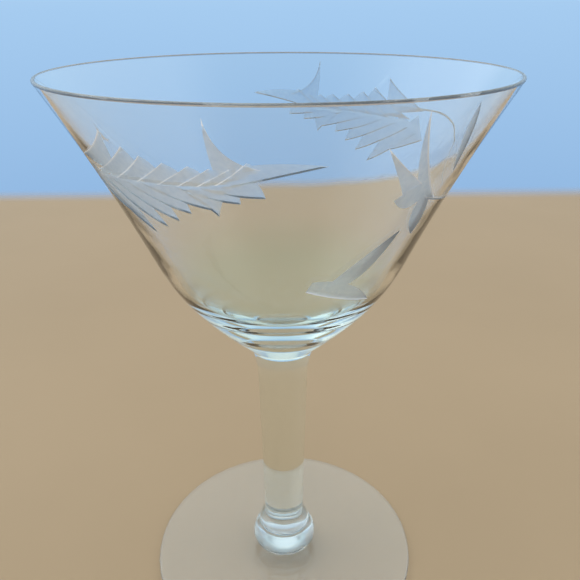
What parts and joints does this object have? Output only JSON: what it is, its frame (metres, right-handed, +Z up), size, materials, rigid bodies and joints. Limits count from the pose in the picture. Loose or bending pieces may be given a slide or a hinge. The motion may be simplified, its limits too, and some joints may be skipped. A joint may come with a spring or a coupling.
{
  "type": "martini glass",
  "caption": "Clear stemmed cocktail glass: a conical bowl with a thick rounded bottom and engraved leaf sprays, a solid stem with a collar and knop, and a thin round foot.",
  "frame": {"origin": "centre of the foot's underside, on the surface that the glass stands on", "axes": "+Z up along the glass's axis of revolution; -Y is the front, where one engraved frond's long tip ends just past the middle, towards +X"},
  "size_m": [0.095, 0.095, 0.132],
  "materials": {
    "clear_glass": "fire-polished clear glass with a faint green tint where it is thick",
    "ground_glass": "matt ground glass, in the engraved cuts only"
  },
  "bodies": {
    "root": {"bowl": "clear_glass", "stem": "clear_glass", "collar": "clear_glass", "knop": "clear_glass", "foot": "clear_glass"}
  },
  "joints": []
}
